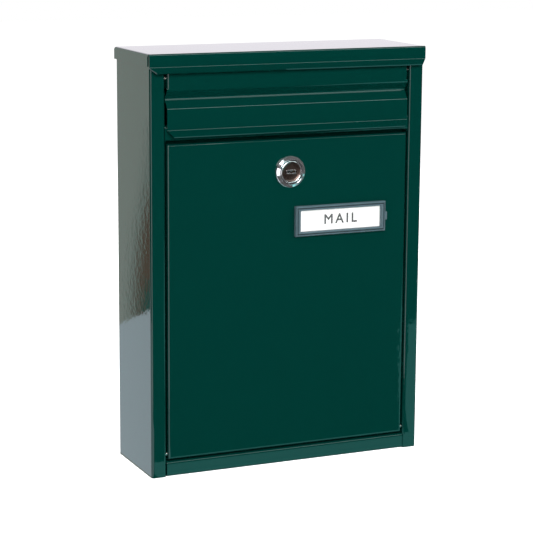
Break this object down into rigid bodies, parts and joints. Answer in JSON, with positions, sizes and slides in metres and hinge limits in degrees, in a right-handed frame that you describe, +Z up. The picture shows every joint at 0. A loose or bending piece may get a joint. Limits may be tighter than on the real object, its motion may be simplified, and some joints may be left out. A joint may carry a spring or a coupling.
{
  "type": "wall mounted mailbox",
  "caption": "Folded steel wall mailbox with a flared lid, a top-hinged letter flap, a bottom-hinged door with a cam lock, and a clear name plate holder.",
  "frame": {"origin": "centre of the back panel's outer face, in the plane of the wall", "axes": "+Z up, +Y out of the back towards the wall, +X to the right seen from the front"},
  "size_m": [0.2136, 0.0741, 0.3],
  "materials": {
    "case_enamel": "glossy dark green enamel",
    "tray_enamel": "glossy dark green enamel",
    "roof_enamel": "glossy dark green enamel",
    "rail_enamel": "glossy dark green enamel",
    "flap_enamel": "glossy dark green enamel",
    "door_enamel": "glossy dark green enamel",
    "zinc_plate": "bright zinc plate",
    "chrome_plate": "polished chrome",
    "dark_nickel": "dark polished nickel",
    "wafer_brass": "plain stamped",
    "clear_plastic": "clear moulded plastic",
    "white_card": "matte white card"
  },
  "bodies": {
    "case": {"case_shell": "case_enamel", "bottom_tray": "tray_enamel", "roof_cap": "roof_enamel", "cross_rail": "rail_enamel", "flap_pin_left": "zinc_plate", "flap_pin_right": "zinc_plate", "door_pin_left": "zinc_plate", "door_pin_right": "zinc_plate"},
    "flap": {"slot_flap": "flap_enamel"},
    "door": {"door_panel": "door_enamel", "lock_housing": "chrome_plate", "lock_nut": "zinc_plate", "lock_washer": "zinc_plate", "label_base": "clear_plastic", "label_card": "white_card", "label_cover": "clear_plastic"},
    "lock": {"lock_plug": "dark_nickel", "lock_wafer_1": "wafer_brass", "lock_wafer_2": "wafer_brass", "lock_wafer_3": "wafer_brass", "lock_wafer_4": "wafer_brass", "lock_cam": "zinc_plate", "cam_washer": "zinc_plate", "cam_screw": "zinc_plate"}
  },
  "joints": [
    {"name": "flap_hinge", "type": "hinge", "parent": "case", "child": "flap", "pos_m": [0, -0.065, 0.133], "axis": [-1, 0, 0], "range_deg": [0, 80]},
    {"name": "door_hinge", "type": "hinge", "parent": "case", "child": "door", "pos_m": [0, -0.065, -0.134], "axis": [1, 0, 0], "range_deg": [0, 105]},
    {"name": "lock_turn", "type": "hinge", "parent": "door", "child": "lock", "pos_m": [0, -0.0525, 0.064], "axis": [0, -1, 0], "range_deg": [0, 90]}
  ]
}
